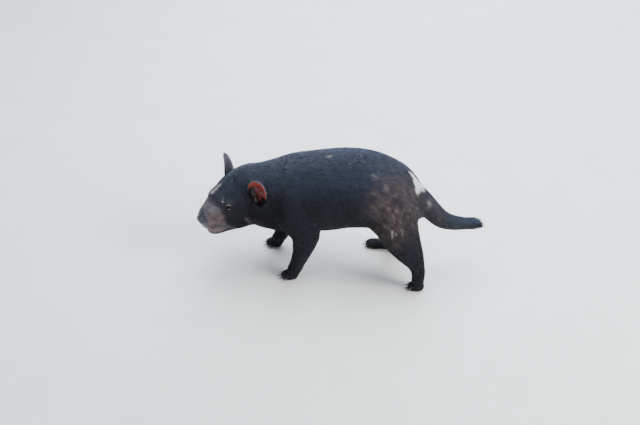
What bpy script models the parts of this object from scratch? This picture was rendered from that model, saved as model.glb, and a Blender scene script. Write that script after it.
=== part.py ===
"""A Tasmanian devil at life size, caught in a slow walk with its head turned to its left.

The animal faces -X, its left side faces -Y and the floor is z = 0. Three kinds of form are modelled
whole and blended: the body, the head and the four feet. Each is parted into named pieces by narrow cuts.
Eyes, ears and claws are pieces of their own, set on the forms that carry them.
"""

import math

import bmesh
import bpy
import numpy as np
from mathutils import Matrix, Vector

GAP = 0.0003  # left between pieces at a flat cut and around eyes and claws
UP = Vector((0, 0, 1))
AHEAD = Vector((-1, 0, 0))

# Torso and neck, root of the skull to root of the tail: x, y, z, half width, half height
TRUNK = (
    (-0.268, -0.018, 0.190, 0.034, 0.038),
    (-0.258, -0.016, 0.191, 0.046, 0.052),
    (-0.236, -0.012, 0.191, 0.059, 0.066),
    (-0.190, -0.006, 0.186, 0.070, 0.081),
    (-0.148, -0.002, 0.186, 0.079, 0.090),
    (-0.105, 0.000, 0.195, 0.084, 0.095),
    (-0.050, 0.000, 0.203, 0.087, 0.097),
    (0.000, 0.000, 0.213, 0.088, 0.095),
    (0.050, 0.000, 0.213, 0.088, 0.091),
    (0.098, 0.000, 0.202, 0.083, 0.081),
    (0.134, 0.000, 0.189, 0.069, 0.067),
    (0.162, 0.000, 0.181, 0.049, 0.049),
    (0.184, 0.000, 0.177, 0.026, 0.029),
)
# Tail, root to tip, coat included: x, y, z, half width, half height
TAIL = (
    (0.158, 0.000, 0.206, 0.026, 0.028),
    (0.180, 0.000, 0.187, 0.0245, 0.026),
    (0.201, 0.002, 0.163, 0.022, 0.0235),
    (0.226, 0.006, 0.138, 0.0195, 0.021),
    (0.256, 0.018, 0.123, 0.0165, 0.0175),
    (0.290, 0.032, 0.115, 0.0125, 0.0135),
    (0.318, 0.043, 0.111, 0.008, 0.0088),
    (0.338, 0.050, 0.108, 0.003, 0.003),
)
TAIL_ROOT, TAIL_BEND = 1.4, 3.7  # where the tail is parted, counted along its stations
# Neck cuts: a point and the way the cut faces
NAPE = (Vector((-0.219, -0.004, 0.200)), Vector((-0.90, -0.38, -0.20)))
COLLAR = (Vector((-0.166, -0.003, 0.195)), Vector((-0.985, -0.10, 0.14)))
# Muscles that fill the shoulders and haunches: x, side offset, z, and three radii
SHOULDER_MASS = ((-0.116, 0.048, 0.186), (0.052, 0.041, 0.074))
HAUNCH_MASS = ((0.112, 0.046, 0.178), (0.062, 0.043, 0.066))
# Legs, inside the trunk to the floor: x, y, z, half width, half depth
LEGS = {
    "front_left": (
        (-0.130, -0.042, 0.212, 0.030, 0.046),
        (-0.114, -0.058, 0.168, 0.031, 0.044),
        (-0.088, -0.067, 0.128, 0.028, 0.037),
        (-0.091, -0.071, 0.090, 0.021, 0.026),
        (-0.101, -0.072, 0.055, 0.0165, 0.0185),
        (-0.111, -0.072, 0.030, 0.0150, 0.0160),
        (-0.116, -0.072, 0.012, 0.0135, 0.0135),
    ),
    "front_right": (
        (-0.134, 0.042, 0.212, 0.030, 0.044),
        (-0.128, 0.056, 0.168, 0.031, 0.042),
        (-0.114, 0.061, 0.128, 0.028, 0.035),
        (-0.128, 0.061, 0.092, 0.021, 0.025),
        (-0.150, 0.059, 0.057, 0.0165, 0.0185),
        (-0.165, 0.058, 0.030, 0.0155, 0.0165),
        (-0.171, 0.058, 0.012, 0.014, 0.014),
    ),
    "hind_left": (
        (0.110, -0.040, 0.208, 0.034, 0.056),
        (0.120, -0.058, 0.165, 0.035, 0.053),
        (0.140, -0.074, 0.124, 0.031, 0.042),
        (0.161, -0.081, 0.090, 0.023, 0.030),
        (0.174, -0.084, 0.066, 0.0165, 0.0195),
        (0.179, -0.085, 0.044, 0.0135, 0.0155),
        (0.178, -0.085, 0.016, 0.0135, 0.0145),
    ),
    "hind_right": (
        (0.110, 0.040, 0.208, 0.034, 0.056),
        (0.106, 0.056, 0.165, 0.035, 0.052),
        (0.103, 0.067, 0.125, 0.030, 0.040),
        (0.112, 0.072, 0.088, 0.022, 0.027),
        (0.116, 0.074, 0.055, 0.016, 0.019),
        (0.110, 0.075, 0.030, 0.014, 0.015),
        (0.104, 0.075, 0.012, 0.013, 0.014),
    ),
}
LEG_MARGIN = 0.011  # how far the block that parts off a leg stands clear of it
LEG_DOME = 0.016  # its rise above the leg's first station
LEG_CLEARANCE = 0.0005  # between a leg and the torso

# Head: its place between the ears, and how far it turns left, looks down and tips to its left
HEAD_AT = Vector((-0.2421, -0.0115, 0.195))
HEAD_TURN = math.radians(41.5)
HEAD_DROP = math.radians(12)
HEAD_TIP = math.radians(3.5)


def turned(at, turn, drop=0.0):
    """A frame at a point, with +X forward, +Y to its left and +Z up, turned left and dipped."""
    return Matrix.Translation(at) @ Matrix.Rotation(math.pi + turn, 4, "Z") @ Matrix.Rotation(drop, 4, "Y")


HEAD = turned(HEAD_AT, HEAD_TURN, HEAD_DROP) @ Matrix.Rotation(-HEAD_TIP, 4, "X")

# Head forms in its own frame, x forward: x, y, z, half width, half height
SKULL = (
    (-0.072, 0, -0.006, 0.036, 0.040),
    (-0.038, 0, -0.006, 0.057, 0.058),
    (0.000, 0, -0.016, 0.065, 0.063),
    (0.026, 0, -0.018, 0.061, 0.062),
    (0.048, 0, -0.018, 0.052, 0.054),
    (0.068, 0, -0.017, 0.042, 0.044),
    (0.087, 0, -0.019, 0.034, 0.034),
    (0.103, 0, -0.021, 0.029, 0.027),
    (0.114, 0, -0.022, 0.024, 0.0215),
    (0.120, 0, -0.022, 0.013, 0.012),
)
JAW = (
    (-0.014, 0, -0.050, 0.050, 0.033),
    (0.022, 0, -0.0580, 0.0440, 0.0290),
    (0.050, 0, -0.0550, 0.0350, 0.0250),
    (0.074, 0, -0.0535, 0.0280, 0.0215),
    (0.093, 0, -0.0530, 0.0230, 0.0185),
    (0.106, 0, -0.0500, 0.0140, 0.0130),
)
LIP_LINE = (  # the left half, corner of the mouth to the front
    (0.050, 0.0365, -0.0405),
    (0.063, 0.0330, -0.0420),
    (0.078, 0.0285, -0.0420),
    (0.093, 0.0230, -0.0405),
    (0.105, 0.0135, -0.0395),
    (0.109, 0.0000, -0.0390),
)
LIP_RADIUS = 0.0034
LIP_INSET, LIP_NARROWING = 0.0016, 0.95  # the lips lie a little inside the line between them
MOUTH_DEPTH, MOUTH_GAP = 0.0036, 0.0008
CHEEK = ((0.006, 0.036, -0.036), (0.044, 0.028, 0.034))
BROW = ((0.047, 0.0260, 0.0120), (0.030, 0.0160, 0.0125))
WHISKER_PAD = ((0.091, 0.0180, -0.026), (0.024, 0.0140, 0.0180))
EYE_AT = Vector((0.0583, 0.0335, 0.0095))
EYE_RADIUS = 0.0075
GAZE = Vector((0.48, 0.77, 0.42)).normalized()
EYE_OPENING = (0.0062, 0.0043)
LID = 0.0019
OPENING_FROM, OPENING_REACH = 0.3, 0.010  # from inside the ball, in radii, to past its front
OPENING_FLARE = (0.9, 1.5)  # its width at those two ends
NOSE_AT = Vector((0.117, 0, -0.0155))
NOSE_RADII = (0.0090, 0.0145, 0.0110)
NOSE_WING = ((0.1180, 0.0082, -0.0152), (0.0075, 0.0062, 0.0080))
NOSTRIL = ((0.1265, 0.0066, -0.0152), (0.0050, 0.0026, 0.0034))
NOSTRIL_SLIT = ((0.1230, 0.0118, -0.0138), (0.0052, 0.0040, 0.0012))
PHILTRUM = ((0.1265, 0, -0.0170), (0.0022, 0.0005, 0.0075))

# Ears: a cupped leaf rising from a pad on the side of the skull
EAR_ROOT = Vector((-0.010, 0.0625, 0.000))
EAR_AXIS = Vector((0.05, 0.05, 0.99)).normalized()
EAR_OPEN = Vector((0.84, 0.54, 0.00))
EAR_HEIGHT = 0.067
EAR_HALF_WIDTH = 0.0220
EAR_WRAP = (math.radians(108), math.radians(48))  # the half turn of the cup at its root and tip
EAR_WALL = 0.0028
EAR_WIDEST = 0.5  # share of the height where the leaf is at its full width
EAR_NARROWING = (0.40, 0.97)  # how much narrower the leaf is at its root, and how far it closes at its tip
EAR_SET_BACK, EAR_LEAN = 0.55, 0.004  # root ahead of the cup's axis, in radii; lean of the tip
EAR_HOLLOW = ((0.009, 0, 0.030), (0.0225, 0.0200, 0.030))  # in the ear's frame: a bowl in front of its wall
EAR_SEAT = Vector((-0.013, 0.0570, 0.0110))  # middle of the ear's pad, on the skull
EAR_SEAT_FACING = Vector((-0.05, 0.83, 0.555)).normalized()
EAR_PAD = (0.0190, 0.0190, 0.0055)
EAR_CLEARANCE = 0.0005  # between an ear and the head and neck

# Feet: the toes' headings from straight ahead in degrees, and how far they reach from the pad
FRONT_TOES = ((54, 0.0185), (26, 0.0225), (2, 0.0240), (-22, 0.0225), (-50, 0.0185))
HIND_TOES = ((36, 0.0195), (12, 0.0225), (-12, 0.0225), (-36, 0.0195))
FEET = {  # pad ahead of the ankle, heading left of ahead in degrees, height of the ankle's cut, toes
    "front_left": (0.004, 6, 0.030, FRONT_TOES),
    "front_right": (0.004, -4, 0.030, FRONT_TOES),
    "hind_left": (0.000, 4, 0.054, HIND_TOES),
    "hind_right": (0.038, -6, 0.030, HIND_TOES),
}
FOOT_PAD = (0.0085, (0.0165, 0.0165, 0.0105))  # height of its middle and its radii
HEEL_BACK = 0.013  # behind the ankle, on the foot that stands flat on the floor
SOLE = (  # that foot's heel to its pad: place between them, height, half width, half depth
    (0.00, 0.0100, 0.0085, 0.0085),
    (0.25, 0.0125, 0.0125, 0.0130),
    (0.70, 0.0110, 0.0135, 0.0120),
    (1.00, 0.0095, 0.0150, 0.0095),
)
TOE_RADIUS = 0.0052
TOE = (  # along a toe: share of its length, height, and half width and half depth in toe radii
    (0.18, 0.0130, 1.00, 1.00),
    (0.50, 0.0125, 1.00, 1.10),
    (0.78, 0.0085, 1.00, 1.12),
    (0.97, 0.0062, 0.82, 0.86),
    (1.00, 0.0062, 0.50, 0.50),
)
CLAW = (  # from inside the toe's tip: ahead, height, radius
    (-0.0030, 0.0070, 0.0014),
    (0.0010, 0.0078, 0.0019),
    (0.0042, 0.0076, 0.0015),
    (0.0072, 0.0060, 0.0010),
    (0.0094, 0.0036, 0.0004),
)


# Finishes by the start of a piece's name: name, colour and roughness
FINISHES = {
    "claw": ("claw horn", (0.052, 0.044, 0.040), 0.45),
    "eye": ("eye", (0.012, 0.009, 0.008), 0.12),
    "ear": ("ear skin", (0.150, 0.030, 0.028), 0.60),
    "foot": ("foot skin", (0.022, 0.018, 0.020), 0.70),
    "leg": ("leg fur", (0.014, 0.012, 0.016), 0.75),
    "tail": ("tail fur", (0.030, 0.026, 0.034), 0.75),
    "": ("body fur", (0.020, 0.022, 0.032), 0.75),
}
SHARP = math.radians(40)
# Blocks that cut pieces off, wide enough to pass right through: radius and reach
HEAD_BLOCK, NECK_BLOCK, TAIL_BLOCK = (0.12, 0.25), (0.115, 0.12), (0.06, 0.25)
ANKLE_BLOCK, FLOOR_BLOCK = (0.06, 0.08), (0.12, 0.05)


def spread(rows, steps):
    """Extra rows between the given ones, on a smooth curve through them all."""
    rows = np.array(rows, float)
    padded = np.vstack([2 * rows[0] - rows[1], rows, 2 * rows[-1] - rows[-2]])
    made = []
    for a, b, c, d in zip(padded, padded[1:], padded[2:], padded[3:]):
        for t in np.arange(steps) / steps:
            bend = (2 * a - 5 * b + 4 * c - d) * t**2 + (3 * b - a - 3 * c + d) * t**3
            made.append(0.5 * (2 * b + (c - a) * t + bend))
    made.append(rows[-1])
    return np.array(made)


def add_loft(bm, stations, sides=20, steps=3, reference=UP, frame=Matrix()):
    """A closed tube of oval sections. The half width lies across the reference direction."""
    rows = spread(stations, steps)
    centres = rows[:, :3]
    along = np.gradient(centres, axis=0)
    along /= np.linalg.norm(along, axis=1)[:, None]
    across = np.cross(np.array(reference), along)
    across /= np.linalg.norm(across, axis=1)[:, None]
    lift = np.cross(along, across)
    turns = np.arange(sides) * 2 * math.pi / sides
    rings = []
    for centre, side, top, size in zip(centres, across, lift, rows[:, 3:5]):
        points = [
            centre + side * size[0] * math.cos(t) + top * size[1] * math.sin(t) for t in turns
        ]
        rings.append([bm.verts.new(frame @ Vector(p)) for p in points])
    for low, high in zip(rings, rings[1:]):
        for i in range(sides):
            j = (i + 1) % sides
            bm.faces.new((low[i], low[j], high[j], high[i]))
    bm.faces.new(reversed(rings[0]))
    bm.faces.new(rings[-1])


def add_ball(bm, at, radii, frame=Matrix(), tilt=Matrix(), segments=20, rings=12):
    """An ellipsoid with its own tilt, in a frame."""
    place = frame @ Matrix.Translation(at) @ tilt.to_4x4() @ Matrix.Diagonal((*radii, 1))
    bmesh.ops.create_uvsphere(bm, u_segments=segments, v_segments=rings, radius=1, matrix=place)


def new_object(name, bm):
    """An object of that name from a bmesh, which it uses up."""
    mesh = bpy.data.meshes.new(name)
    bm.normal_update()
    bm.to_mesh(mesh)
    bm.free()
    made = bpy.data.objects.new(name, mesh)
    bpy.context.scene.collection.objects.link(made)
    return made


def apply_modifiers(obj):
    """Turns an object's modifiers into its mesh."""
    bpy.context.view_layer.update()
    graph = bpy.context.evaluated_depsgraph_get()
    mesh = bpy.data.meshes.new_from_object(obj.evaluated_get(graph))
    obj.modifiers.clear()
    obj.data = mesh


def discard(*objects):
    for obj in objects:
        bpy.data.objects.remove(obj)


def blended(name, bm, voxel, smoothing, triangles=None):
    """One closed skin over the forms in a bmesh, softly joined and thinned to about so many triangles."""
    form = new_object(name, bm)
    remesh = form.modifiers.new("blend", "REMESH")
    remesh.mode = "VOXEL"
    remesh.voxel_size = voxel
    smooth = form.modifiers.new("soften", "SMOOTH")
    smooth.factor = 0.5
    smooth.iterations = smoothing
    apply_modifiers(form)
    if triangles is None:
        return form
    form.data.calc_loop_triangles()
    thin = form.modifiers.new("thin", "DECIMATE")
    thin.ratio = triangles / len(form.data.loop_triangles)
    apply_modifiers(form)
    return form


def combine(target, tool, operation):
    """Applies one Boolean to the target and drops the tool."""
    cut = target.modifiers.new(operation.lower(), "BOOLEAN")
    cut.operation = operation
    cut.object = tool
    apply_modifiers(target)
    discard(tool)


def copy_of(obj, name):
    """A second object with a mesh of its own."""
    made = obj.copy()
    made.data = obj.data.copy()
    made.name = name
    bpy.context.scene.collection.objects.link(made)
    return made


def block(point, direction, radius, depth):
    """A round block whose flat face passes through a point and which reaches along a direction."""
    direction = Vector(direction).normalized()
    turn = UP.rotation_difference(direction).to_matrix().to_4x4()
    place = Matrix.Translation(Vector(point) + direction * depth / 2) @ turn
    bm = bmesh.new()
    bmesh.ops.create_cone(
        bm, cap_ends=True, segments=24, radius1=radius, radius2=radius, depth=depth, matrix=place
    )
    return new_object("block", bm)


def keep_largest(obj):
    """Keeps the largest closed surface of an object."""
    bm = bmesh.new()
    bm.from_mesh(obj.data)
    left = set(bm.verts)
    islands = []
    while left:
        island = [left.pop()]
        for vert in island:
            for edge in vert.link_edges:
                other = edge.other_vert(vert)
                if other in left:
                    left.remove(other)
                    island.append(other)
        islands.append(island)
    islands.sort(key=len, reverse=True)
    bmesh.ops.delete(bm, geom=[v for island in islands[1:] for v in island], context="VERTS")
    bm.to_mesh(obj.data)
    bm.free()


def mirrored(at, side):
    """A point of the head's or body's left half, or its twin on the right where side is -1."""
    return Vector((at[0], at[1] * side, at[2]))


def add_head_bulk(bm):
    """Skull, jaw, cheeks and brows, the part of the head that is blended most."""
    add_loft(bm, SKULL, sides=40, steps=4, frame=HEAD)
    add_loft(bm, JAW, sides=28, steps=4, frame=HEAD)
    for side in (-1, 1):
        for at, radii in (CHEEK, BROW):
            add_ball(bm, mirrored(at, side), radii, HEAD)


def body_form():
    """Trunk, tail, legs and the bulk of the head as one skin."""
    bm = bmesh.new()
    add_loft(bm, TRUNK, sides=40, steps=4)
    add_loft(bm, TAIL, sides=18)
    for leg in LEGS.values():
        add_loft(bm, leg, sides=20, reference=-AHEAD)
    for at, radii in (SHOULDER_MASS, HAUNCH_MASS):
        for side in (-1, 1):
            add_ball(bm, mirrored(at, side), radii)
    add_head_bulk(bm)
    return blended("body", bm, voxel=0.003, smoothing=14, triangles=3400)


def head_form():
    """The head and the neck it grows from, softened first, then its lips, whisker pads and nose."""
    bm = bmesh.new()
    add_loft(bm, TRUNK[:6], sides=40, steps=4)
    add_head_bulk(bm)
    bulk = blended("bulk", bm, voxel=0.0025, smoothing=16)
    bm = bmesh.new()
    bm.from_mesh(bulk.data)
    discard(bulk)
    for side in (-1, 1):
        for at, radii in (WHISKER_PAD, NOSE_WING):
            add_ball(bm, mirrored(at, side), radii, HEAD)
    add_ball(bm, NOSE_AT, NOSE_RADII, HEAD)
    for rise in (LIP_RADIUS, -LIP_RADIUS):
        lip = [
            (x - LIP_INSET, y * LIP_NARROWING, z + rise, LIP_RADIUS, LIP_RADIUS)
            for x, y, z in lip_path()
        ]
        add_loft(bm, lip, sides=10, steps=2, frame=HEAD)
    return blended("head_form", bm, voxel=0.0017, smoothing=5, triangles=2600)


def lip_path():
    """The whole lip line, left corner to right corner."""
    right = [(x, -y, z) for x, y, z in reversed(LIP_LINE[:-1])]
    return list(LIP_LINE) + right


def foot_frame(name):
    """A foot's own frame on the floor under its ankle, +X towards its toes."""
    ankle = LEGS[name][-1]
    return turned(Vector((ankle[0], ankle[1], 0)), math.radians(FEET[name][1]))


def toe_frames(name):
    """A frame for each toe, from the middle of the foot's pad along the toe, and the toe's reach."""
    reach, _, _, toes = FEET[name]
    pad = foot_frame(name) @ Matrix.Translation((reach, 0, 0))
    return [(pad @ Matrix.Rotation(math.radians(angle), 4, "Z"), length) for angle, length in toes]


def foot_form(name):
    """Foot and toes with the end of the leg above them."""
    reach = FEET[name][0]
    frame = foot_frame(name)
    bm = bmesh.new()
    add_loft(bm, LEGS[name][-4:], sides=20, reference=-AHEAD)
    add_ball(bm, (reach, 0, FOOT_PAD[0]), FOOT_PAD[1], frame)
    if name == "hind_right":
        sole = [(t * (reach + HEEL_BACK) - HEEL_BACK, 0, *row) for t, *row in SOLE]
        add_loft(bm, sole, sides=18, frame=frame)
    for toe, length in toe_frames(name):
        joints = [(t * length, 0, z, TOE_RADIUS * w, TOE_RADIUS * d) for t, z, w, d in TOE]
        add_loft(bm, joints, sides=14, frame=toe)
    return blended("foot_" + name, bm, voxel=0.0013, smoothing=3, triangles=400)


def add_claw(bm, toe, length, grow=0.0):
    """A curved claw on the end of a toe, or the slightly wider hole it sits in."""
    rows = [(length + x, 0, z, r + grow, r + grow) for x, z, r in CLAW]
    if grow:
        rows[0] = (rows[0][0] - grow, 0, *rows[0][2:])
    add_loft(bm, rows, sides=6, steps=1, frame=toe)


def grown(obj, distance):
    """The object with its whole surface moved outwards."""
    grow = obj.modifiers.new("grow", "DISPLACE")
    grow.strength = distance
    grow.mid_level = 0
    apply_modifiers(obj)
    return obj


def leg_block(name):
    """The round block that parts one leg off the body: the leg's own path, wider and domed at the top."""
    path = LEGS[name]
    x, y, z, wide, deep = path[0]
    rows = [(x, y, z + LEG_DOME, wide * 0.35, deep * 0.35)]
    rows += [(*row[:3], row[3] + LEG_MARGIN, row[4] + LEG_MARGIN) for row in path]
    rows += [(*path[-1][:2], -0.020, path[-1][3] + LEG_MARGIN, path[-1][4] + LEG_MARGIN)]
    bm = bmesh.new()
    add_loft(bm, rows, sides=18, steps=2, reference=-AHEAD)
    return blended("leg_block", bm, voxel=0.004, smoothing=3, triangles=240)


def make_legs(body):
    """Parts the four legs and their feet and claws off the body."""
    for name in LEGS:
        leg = copy_of(body, "leg_" + name)
        around = leg_block(name)
        combine(leg, copy_of(around, "around"), "INTERSECT")
        cut = FEET[name][2]
        ankle = LEGS[name][-2]
        combine(leg, block((*ankle[:2], cut), -UP, *ANKLE_BLOCK), "DIFFERENCE")
        keep_largest(leg)
        combine(body, grown(around, LEG_CLEARANCE), "DIFFERENCE")
        foot = foot_form(name)
        combine(foot, block((*ankle[:2], cut - GAP), UP, *ANKLE_BLOCK), "DIFFERENCE")
        combine(foot, block((*ankle[:2], 0), -UP, *FLOOR_BLOCK), "DIFFERENCE")
        sockets = bmesh.new()
        for number, (toe, length) in enumerate(toe_frames(name), 1):
            claw = bmesh.new()
            add_claw(claw, toe, length)
            new_object(f"claw_{name}_{number}", claw)
            add_claw(sockets, toe, length, GAP)
        combine(foot, new_object("sockets", sockets), "DIFFERENCE")
        keep_largest(foot)


def parted(body, name, at, facing, radius, depth):
    """Parts off what lies past a flat cut, and returns it."""
    at, facing = Vector(at), Vector(facing).normalized()
    piece = copy_of(body, name)
    combine(piece, block(at + facing * GAP, facing, radius, depth), "INTERSECT")
    combine(body, block(at, facing, radius, depth), "DIFFERENCE")
    keep_largest(piece)
    return piece


def station(rows, place):
    """Point and direction at a place along a row of stations, counted in stations."""
    fine = spread(rows, 10)[:, :3]
    at = round(place * 10)
    return Vector(fine[at]), Vector(fine[at + 1] - fine[at - 1]).normalized()


def make_trunk(body):
    """Parts the tail, neck and stand-in head off the body, which stays as the torso."""
    tail = parted(body, "tail_root", *station(TAIL, TAIL_ROOT), *TAIL_BLOCK)
    parted(tail, "tail_end", *station(TAIL, TAIL_BEND), *TAIL_BLOCK)
    discard(parted(body, "front", *NAPE, *HEAD_BLOCK))
    parted(body, "neck", *COLLAR, *NECK_BLOCK)
    keep_largest(body)
    body.name = "torso"


def ear_frame(side):
    """An ear's frame in the world: +Z along the ear, +X the way its cup opens."""
    axis, opens = mirrored(EAR_AXIS, side), mirrored(EAR_OPEN, side)
    opens = (opens - axis * opens.dot(axis)).normalized()
    turn = Matrix((opens, axis.cross(opens), axis)).transposed().to_4x4()
    return HEAD @ Matrix.Translation(mirrored(EAR_ROOT, side)) @ turn


def ear_leaf(frame):
    """The ear's thin cupped wall, as a closed mesh."""
    rows, columns = 10, 10
    bm = bmesh.new()
    grid = []
    for i in range(rows + 1):
        t = i / rows
        swell = math.sin(math.pi / 2 * min(t / EAR_WIDEST, 1))
        closing = max(0, (t - EAR_WIDEST) / (1 - EAR_WIDEST)) ** 2
        taper = math.sqrt(1 - EAR_NARROWING[1] * closing)
        half = EAR_HALF_WIDTH * (1 - EAR_NARROWING[0] * (1 - swell)) * taper
        wrap = EAR_WRAP[0] * (1 - t) + EAR_WRAP[1] * t
        radius = half / math.sin(min(wrap, math.pi / 2))
        line = []
        for j in range(-columns // 2, columns // 2 + 1):
            turn = wrap * j / (columns / 2)
            depth = radius * (EAR_SET_BACK - math.cos(turn)) + EAR_LEAN * t * t
            line.append(bm.verts.new(frame @ Vector((depth, radius * math.sin(turn), EAR_HEIGHT * t))))
        grid.append(line)
    for low, high in zip(grid, grid[1:]):
        for a, b, c, d in zip(low, low[1:], high[1:], high):
            bm.faces.new((a, b, c, d))
    bmesh.ops.triangulate(bm, faces=bm.faces[:])
    leaf = new_object("leaf", bm)
    wall = leaf.modifiers.new("wall", "SOLIDIFY")
    wall.thickness = EAR_WALL
    wall.offset = 0
    apply_modifiers(leaf)
    return leaf


def ear_hollow(side):
    """The bowl in front of an ear's wall, to be carved out of the head and neck."""
    bm = bmesh.new()
    add_ball(bm, *EAR_HOLLOW, ear_frame(side))
    return new_object("hollow", bm)


def ear_pad(side):
    """The low mound of muscle an ear rises from."""
    facing = HEAD.to_3x3() @ mirrored(EAR_SEAT_FACING, side)
    turn = UP.rotation_difference(facing).to_matrix()
    bm = bmesh.new()
    place = Matrix.Translation(HEAD @ mirrored(EAR_SEAT, side))
    add_ball(bm, (0, 0, 0), EAR_PAD, place, turn, segments=24)
    return new_object("pad", bm)


def make_ear(skull, name, side):
    """A cupped ear with its pad, cut away where it would meet the skull."""
    ear = ear_leaf(ear_frame(side))
    ear.name = "ear_" + name
    combine(ear, ear_pad(side), "UNION")
    combine(ear, copy_of(skull, "skull"), "DIFFERENCE")
    keep_largest(ear)


def make_eye(head, name, side):
    """An eyeball in its socket, under lids that stand a little proud of it."""
    at, gaze = mirrored(EYE_AT, side), mirrored(GAZE, side)
    lids = bmesh.new()
    add_ball(lids, at, [EYE_RADIUS + LID] * 3, HEAD)
    combine(head, new_object("lids", lids), "UNION")
    wide, high = EYE_OPENING
    opening = bmesh.new()
    ends = (EYE_RADIUS * OPENING_FROM, EYE_RADIUS + OPENING_REACH)
    rows = [(*(at + gaze * d), wide * flare, high * flare) for d, flare in zip(ends, OPENING_FLARE)]
    add_loft(opening, rows, 16, 1, frame=HEAD)
    combine(head, new_object("opening", opening), "DIFFERENCE")
    socket = bmesh.new()
    add_ball(socket, at, [EYE_RADIUS + GAP] * 3, HEAD)
    combine(head, new_object("socket", socket), "DIFFERENCE")
    ball = bmesh.new()
    add_ball(ball, at, [EYE_RADIUS] * 3, HEAD, segments=14, rings=10)
    new_object("eye_" + name, ball)


def make_head():
    """The head with its mouth, nostrils, eyes and ears, cut to meet the neck."""
    head = head_form()
    head.name = "head"
    for side in (-1, 1):
        for carved in (head, bpy.data.objects["neck"]):
            combine(carved, ear_hollow(side), "DIFFERENCE")
    skull = grown(copy_of(head, "skull"), EAR_CLEARANCE)
    at, facing = NAPE
    facing = facing.normalized()
    combine(head, block(at + facing * GAP, facing, *HEAD_BLOCK), "INTERSECT")
    slit = [(*point, MOUTH_DEPTH, MOUTH_GAP) for point in lip_path()]
    groove = bmesh.new()
    add_loft(groove, slit, sides=8, steps=2, frame=HEAD)
    combine(head, new_object("groove", groove), "DIFFERENCE")
    for name, side in (("left", 1), ("right", -1)):
        holes = bmesh.new()
        add_ball(holes, mirrored(NOSTRIL[0], side), NOSTRIL[1], HEAD, segments=12, rings=8)
        combine(head, new_object("nostril", holes), "DIFFERENCE")
        slits = bmesh.new()
        add_ball(slits, mirrored(NOSTRIL_SLIT[0], side), NOSTRIL_SLIT[1], HEAD, segments=12, rings=8)
        combine(head, new_object("slit", slits), "DIFFERENCE")
        make_eye(head, name, side)
        make_ear(skull, name, side)
    discard(skull)
    cleft = bmesh.new()
    add_ball(cleft, *PHILTRUM, HEAD, segments=10, rings=8)
    combine(head, new_object("cleft", cleft), "DIFFERENCE")
    keep_largest(head)


def material(name, colour, roughness):
    made = bpy.data.materials.new(name)
    made.use_nodes = True
    surface = made.node_tree.nodes["Principled BSDF"]
    surface.inputs["Base Color"].default_value = (*colour, 1)
    surface.inputs["Roughness"].default_value = roughness
    surface.inputs["Metallic"].default_value = 0
    return made


def finish():
    """Gives each piece its material and soft shading, and stands the animal over the origin."""
    made = {start: material(*values) for start, values in FINISHES.items()}
    stand = bpy.data.objects.new("tasmanian_devil", None)
    bpy.context.scene.collection.objects.link(stand)
    pieces = [obj for obj in bpy.data.objects if obj.type == "MESH"]
    corners = np.array([v.co for obj in pieces for v in obj.data.vertices])
    middle = (corners.min(axis=0) + corners.max(axis=0)) / 2
    stand.location = (-middle[0], -middle[1], 0)
    for obj in pieces:
        obj.parent = stand
        obj.data.materials.clear()
        obj.data.materials.append(next(made[start] for start in made if obj.name.startswith(start)))
        obj.data.shade_smooth()
        obj.data.set_sharp_from_angle(angle=SHARP)


def main():
    for obj in list(bpy.data.objects):
        bpy.data.objects.remove(obj)
    body = body_form()
    make_legs(body)
    make_trunk(body)
    make_head()
    finish()


if __name__ == "__main__":
    main()
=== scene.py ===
import math

import bmesh
import bpy
import numpy as np
from mathutils import Matrix, Vector
from mathutils.bvhtree import BVHTree
from mathutils.kdtree import KDTree


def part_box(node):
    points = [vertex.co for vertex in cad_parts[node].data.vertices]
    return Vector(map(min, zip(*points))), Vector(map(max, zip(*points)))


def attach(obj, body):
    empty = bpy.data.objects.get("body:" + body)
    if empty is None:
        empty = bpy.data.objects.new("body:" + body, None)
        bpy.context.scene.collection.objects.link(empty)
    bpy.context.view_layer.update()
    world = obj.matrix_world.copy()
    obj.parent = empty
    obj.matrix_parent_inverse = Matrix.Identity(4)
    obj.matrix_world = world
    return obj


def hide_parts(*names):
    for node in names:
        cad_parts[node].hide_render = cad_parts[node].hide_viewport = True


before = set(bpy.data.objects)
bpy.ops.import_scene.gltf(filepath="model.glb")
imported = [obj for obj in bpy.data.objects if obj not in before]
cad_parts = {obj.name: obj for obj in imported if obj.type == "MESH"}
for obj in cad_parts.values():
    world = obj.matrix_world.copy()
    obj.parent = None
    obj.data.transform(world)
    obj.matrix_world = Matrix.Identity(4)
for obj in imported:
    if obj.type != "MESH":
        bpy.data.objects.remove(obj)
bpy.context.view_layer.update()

# Camera.
# The view of the animal: a long lens at about standing height, a little behind square-on, looking down on
# its left side.
LENS = 76.0  # mm, on a 36 mm wide picture
CAMERA_TURN = math.radians(6.5)
CAMERA_RISE = math.radians(33)
CAMERA_AWAY = 3.25
AIM = Vector((0.0105, 0.0031, 0))  # the point of the floor seen at pixel (345, 263) of 640 x 425
AIM_PIXEL = (345 - 320, 212.5 - 263)
METRES_PER_PIXEL = 0.0024

away = Vector(
    (
        math.sin(CAMERA_TURN) * math.cos(CAMERA_RISE),
        -math.cos(CAMERA_TURN) * math.cos(CAMERA_RISE),
        math.sin(CAMERA_RISE),
    )
)
picture_right = Vector((math.cos(CAMERA_TURN), math.sin(CAMERA_TURN), 0))
picture_up = away.cross(picture_right)
target = AIM - METRES_PER_PIXEL * (AIM_PIXEL[0] * picture_right + AIM_PIXEL[1] * picture_up)
camera = bpy.data.objects.new("camera", bpy.data.cameras.new("camera"))
bpy.context.collection.objects.link(camera)
camera.data.lens = LENS
camera.data.sensor_width = 36
camera.data.clip_end = 50
camera.location = target + CAMERA_AWAY * away
camera.rotation_euler = away.to_track_quat("Z", "Y").to_euler()
bpy.context.scene.camera = camera


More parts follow.
